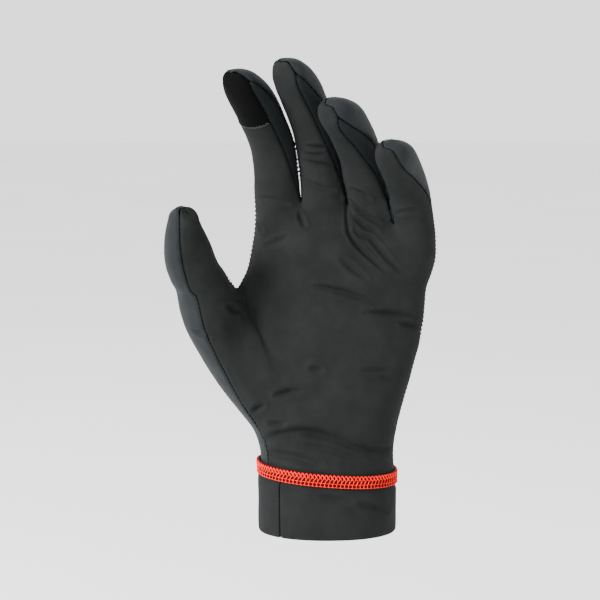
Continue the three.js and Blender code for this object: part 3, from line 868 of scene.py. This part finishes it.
class GloveThread(bpy.types.PropertyGroup):
    pitch: length_prop("Pitch", "Length of one stitch of the seams, gap included", 0.0022)
    radius: length_prop("Radius", "Radius of the seams' thread", 0.00027)
    zigzag: length_prop("Zigzag", "Length of one leg of the touch patch's zigzag", 0.0009)
    band_loops: bpy.props.IntProperty(
        name="Band loops", description="Loops of red thread round the wrist", default=100, min=20
    )
    dark: colour_prop("Dark thread", "Thread of the seams", (0.0015, 0.0015, 0.0017))
    pale: colour_prop("Pale thread", "Thread of the touch patch's zigzag", (0.035, 0.037, 0.038))
    red: colour_prop("Red thread", "Thread of the wrist band", (0.56, 0.005, 0.002))


class GloveStage(bpy.types.PropertyGroup):
    floor: length_prop("Floor drop", "How far the floor lies under the hem", 0.12)
    key: power_prop("Key", "Power of the soft key light", 64.0)
    fill: power_prop("Fill", "Power of the fill light", 1.2)
    sky: bpy.props.FloatProperty(
        name="Surround", description="Strength of the white surround", default=1.9, min=0
    )


class OBJECT_OT_glove_panels(bpy.types.Operator):
    """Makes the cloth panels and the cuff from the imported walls"""

    bl_idname = "object.glove_panels"
    bl_label = "Cloth panels"

    def execute(self, context):
        cloth = context.scene.glove_cloth
        nodes = frame["nodes"]
        walls = Walls(nodes.values())
        shells = {}
        skins = {}
        for name in (*(name for name, _ in PANELS), BAND):
            shells[name] = merged_copy(nodes[name])
            skins[name] = outer_faces(shells[name], walls)
            if not skins[name]:
                raise RuntimeError(f"{name} has no outer skin")
        seams = sewn_runs(skins)
        relief = Relief(skin_tree(skins.values()), [run for _, _, run in seams], cloth.folds)
        materials = {
            "palm_cloth": knit_material("Palm knit", cloth.palm, cloth, 0.75, 0.04),
            "back_cloth": knit_material("Back knit", cloth.back, cloth, 0.6, 0.09),
            "side_shade_cloth": knit_material("Side shaded knit", cloth.side, cloth, 0.7, 0.05),
            "touch_cloth": knit_material("Touch knit", cloth.patch, cloth, 0.75, 0.015, 0.7),
        }
        for name, slot in PANELS:
            mesh = wall_copy(nodes[name], shells[name], skins[name], cloth.wall)
            refined(mesh, relief)
            pressed(mesh, relief)
            if name == "cuff":
                ease = CuffEase(cloth.ease)
                for vert in mesh.vertices:
                    vert.co = ease.moved(vert.co)
                seams.append((name, name, upright_seam(skins[name], ease)))
            mesh.name = name + "_cloth"
            # The fourchettes take the side knit instead of their listed slot; its darker grey is painted
            # shade between the fingers.
            knit = materials["side_shade_cloth" if name.endswith("fourchette") else slot]
            as_piece(name + "_cloth", mesh, knit, name)
        shared["seams"] = seams
        shared["band_borders"] = border_paths(skins[BAND])
        shared["cloth"] = dressed_tree()
        for shell in shells.values():
            shell.free()
        return {"FINISHED"}


class OBJECT_OT_glove_zigzag(bpy.types.Operator):
    """Sews the touch patch's lower edge down with a pale zigzag"""

    bl_idname = "object.glove_zigzag"
    bl_label = "Touch patch zigzag"

    def execute(self, context):
        thread = context.scene.glove_thread
        zigzag = Thread("touch_patch_zigzag")
        for name, other, run in shared["seams"]:
            if (name, other) != ("index_touch_patch", "palm_panel"):
                continue
            points = walk(run, thread.zigzag)
            for i, (a, b) in enumerate(zip(points, points[1:])):
                outward = way_out(shared["cloth"], a.lerp(b, 0.5))
                across = outward.cross(b - a).normalized() * (ZIGZAG_HALF if i % 2 else -ZIGZAG_HALF)
                lift = outward * ZIGZAG_LIFT
                zigzag.strand(a - across + lift, b + across + lift, outward, ZIGZAG_RADIUS)
        material = thread_material("Zigzag thread", tuple(thread.pale), scaled(thread.pale, 1.8), 0.1)
        as_piece("touch_patch_zigzag", zigzag.mesh(), material, None)
        return {"FINISHED"}


class OBJECT_OT_glove_seams(bpy.types.Operator):
    """Sews the seams with short dark stitches over a thread that runs on under them"""

    bl_idname = "object.glove_seams"
    bl_label = "Seam stitches"

    def execute(self, context):
        thread = context.scene.glove_thread
        sewn = Thread("seam_stitches")
        for _, _, run in shared["seams"]:
            points = walk(run, thread.pitch)
            for a, b in zip(points, points[1:]):
                if (b - a).length < SHORTEST_STITCH * thread.pitch:
                    continue
                outward = way_out(shared["cloth"], a.lerp(b, 0.5))
                for first, last, depth in (STITCH, LOWER_THREAD):
                    sunk = outward * -depth
                    sewn.strand(a.lerp(b, first) + sunk, a.lerp(b, last) + sunk, outward, thread.radius)
        material = thread_material("Seam thread", tuple(thread.dark), scaled(thread.dark, 1.8), 0.02)
        as_piece("seam_stitches", sewn.mesh(), material, None)
        return {"FINISHED"}


class OBJECT_OT_glove_band(bpy.types.Operator):
    """Loops the red thread of the wrist seam round its band"""

    bl_idname = "object.glove_band"
    bl_label = "Wrist band"

    def execute(self, context):
        thread = context.scene.glove_thread
        rims = BandRims(shared["band_borders"], thread.band_loops)
        looped = Thread("wrist_seam_loops")
        for i in range(thread.band_loops):
            for turn_from, down_from, turn_to, down_to, radius, lift in BAND_STRANDS:
                start, out = rims.at(i + turn_from, down_from, lift)
                end, _ = rims.at(i + turn_to, down_to, lift)
                looped.strand(start, end, out, radius)
        material = thread_material("Red thread", scaled(thread.red, 0.7), scaled(thread.red, 1.6), 0.12)
        as_piece("wrist_seam_loops", looped.mesh(), material, BAND)
        # A dark red backing under the loops: partly the ground under the thread, and darkened as painted
        # shade in the gaps between the loops.
        shell = merged_copy(frame["nodes"][BAND])
        bmesh.ops.smooth_vert(shell, verts=shell.verts, factor=0.2, use_axis_x=True, use_axis_y=True)
        backing = bpy.data.meshes.new("wrist_seam_shade_backing")
        shell.to_mesh(backing)
        shell.free()
        ground = thread_material("Band shade ground", (0.02, 0.001, 0.001), (0.10, 0.004, 0.003), 0.03)
        as_piece("wrist_seam_shade_backing", backing, ground, BAND)
        return {"FINISHED"}


class OBJECT_OT_glove_stage(bpy.types.Operator):
    """Sets the pale floor, the white surround and the soft lights"""

    bl_idname = "object.glove_stage"
    bl_label = "Stage"

    def execute(self, context):
        stage = context.scene.glove_stage
        bm = bmesh.new()
        bmesh.ops.create_grid(
            bm, x_segments=1, y_segments=1, size=FLOOR_HALF, matrix=Matrix.Translation((0, 0, -stage.floor))
        )
        floor = bpy.data.objects.new("floor", finished(bm, "floor"))
        context.scene.collection.objects.link(floor)
        sheet = Sheet("Pale floor")
        sheet.join(
            sheet.ramp(sheet.noise(3, 2), (0.4, (0.9, 0.9, 0.9)), (0.6, (0.92, 0.92, 0.92))),
            sheet.shader.inputs["Base Color"],
        )
        sheet.shader.inputs["Roughness"].default_value = 0.9
        floor.data.materials.append(sheet.material)
        world = bpy.data.worlds.new("White surround")
        world.use_nodes = True
        ground = world.node_tree.nodes["Background"]
        ground.inputs["Color"].default_value = (1, 1, 1, 1)
        ground.inputs["Strength"].default_value = stage.sky
        context.scene.world = world
        self.soft_light("key", KEY_PLACE, KEY_SIZE, stage.key)
        self.soft_light("fill", FILL_PLACE, FILL_SIZE, stage.fill)
        return {"FINISHED"}

    def soft_light(self, name, place, size, power):
        """A square soft light that faces the middle of the glove."""
        lamp = bpy.data.lights.new(name, "AREA")
        lamp.energy = power
        lamp.size = size
        holder = bpy.data.objects.new(name, lamp)
        holder.location = place
        holder.rotation_euler = (LIGHTS_AIM - Vector(place)).to_track_quat("-Z", "Y").to_euler()
        bpy.context.scene.collection.objects.link(holder)


class VIEW3D_PT_glove(bpy.types.Panel):
    """Shows the glove liner's settings and a button for each of its steps"""

    bl_label = "Glove liner"
    bl_space_type = "VIEW_3D"
    bl_region_type = "UI"
    bl_category = "Glove liner"

    def draw(self, context):
        scene = context.scene
        for group in (scene.glove_cloth, scene.glove_thread, scene.glove_stage):
            column = self.layout.column()
            for key in group.__annotations__:
                column.prop(group, key)
        for operator in OPERATORS:
            self.layout.operator(operator.bl_idname)


OPERATORS = (
    OBJECT_OT_glove_panels,
    OBJECT_OT_glove_zigzag,
    OBJECT_OT_glove_seams,
    OBJECT_OT_glove_band,
    OBJECT_OT_glove_stage,
)
CLASSES = (GloveCloth, GloveThread, GloveStage, *OPERATORS, VIEW3D_PT_glove)


def register():
    for made in CLASSES:
        bpy.utils.register_class(made)
    bpy.types.Scene.glove_cloth = bpy.props.PointerProperty(type=GloveCloth)
    bpy.types.Scene.glove_thread = bpy.props.PointerProperty(type=GloveThread)
    bpy.types.Scene.glove_stage = bpy.props.PointerProperty(type=GloveStage)


def unregister():
    del bpy.types.Scene.glove_stage
    del bpy.types.Scene.glove_thread
    del bpy.types.Scene.glove_cloth
    for made in reversed(CLASSES):
        bpy.utils.unregister_class(made)


def camera():
    """The camera at the picture's angle."""
    lens = bpy.data.cameras.new("camera")
    lens.lens = CAMERA_LENS
    lens.sensor_width = SENSOR
    holder = bpy.data.objects.new("camera", lens)
    holder.location = CAMERA_PLACE
    holder.rotation_euler = (CAMERA_PITCH, 0, 0)
    bpy.context.scene.collection.objects.link(holder)
    bpy.context.scene.camera = holder


def main():
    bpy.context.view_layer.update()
    register()
    camera()
    bpy.ops.object.glove_panels()
    bpy.ops.object.glove_zigzag()
    bpy.ops.object.glove_seams()
    bpy.ops.object.glove_band()
    bpy.ops.object.glove_stage()


if __name__ == "__main__":
    main()
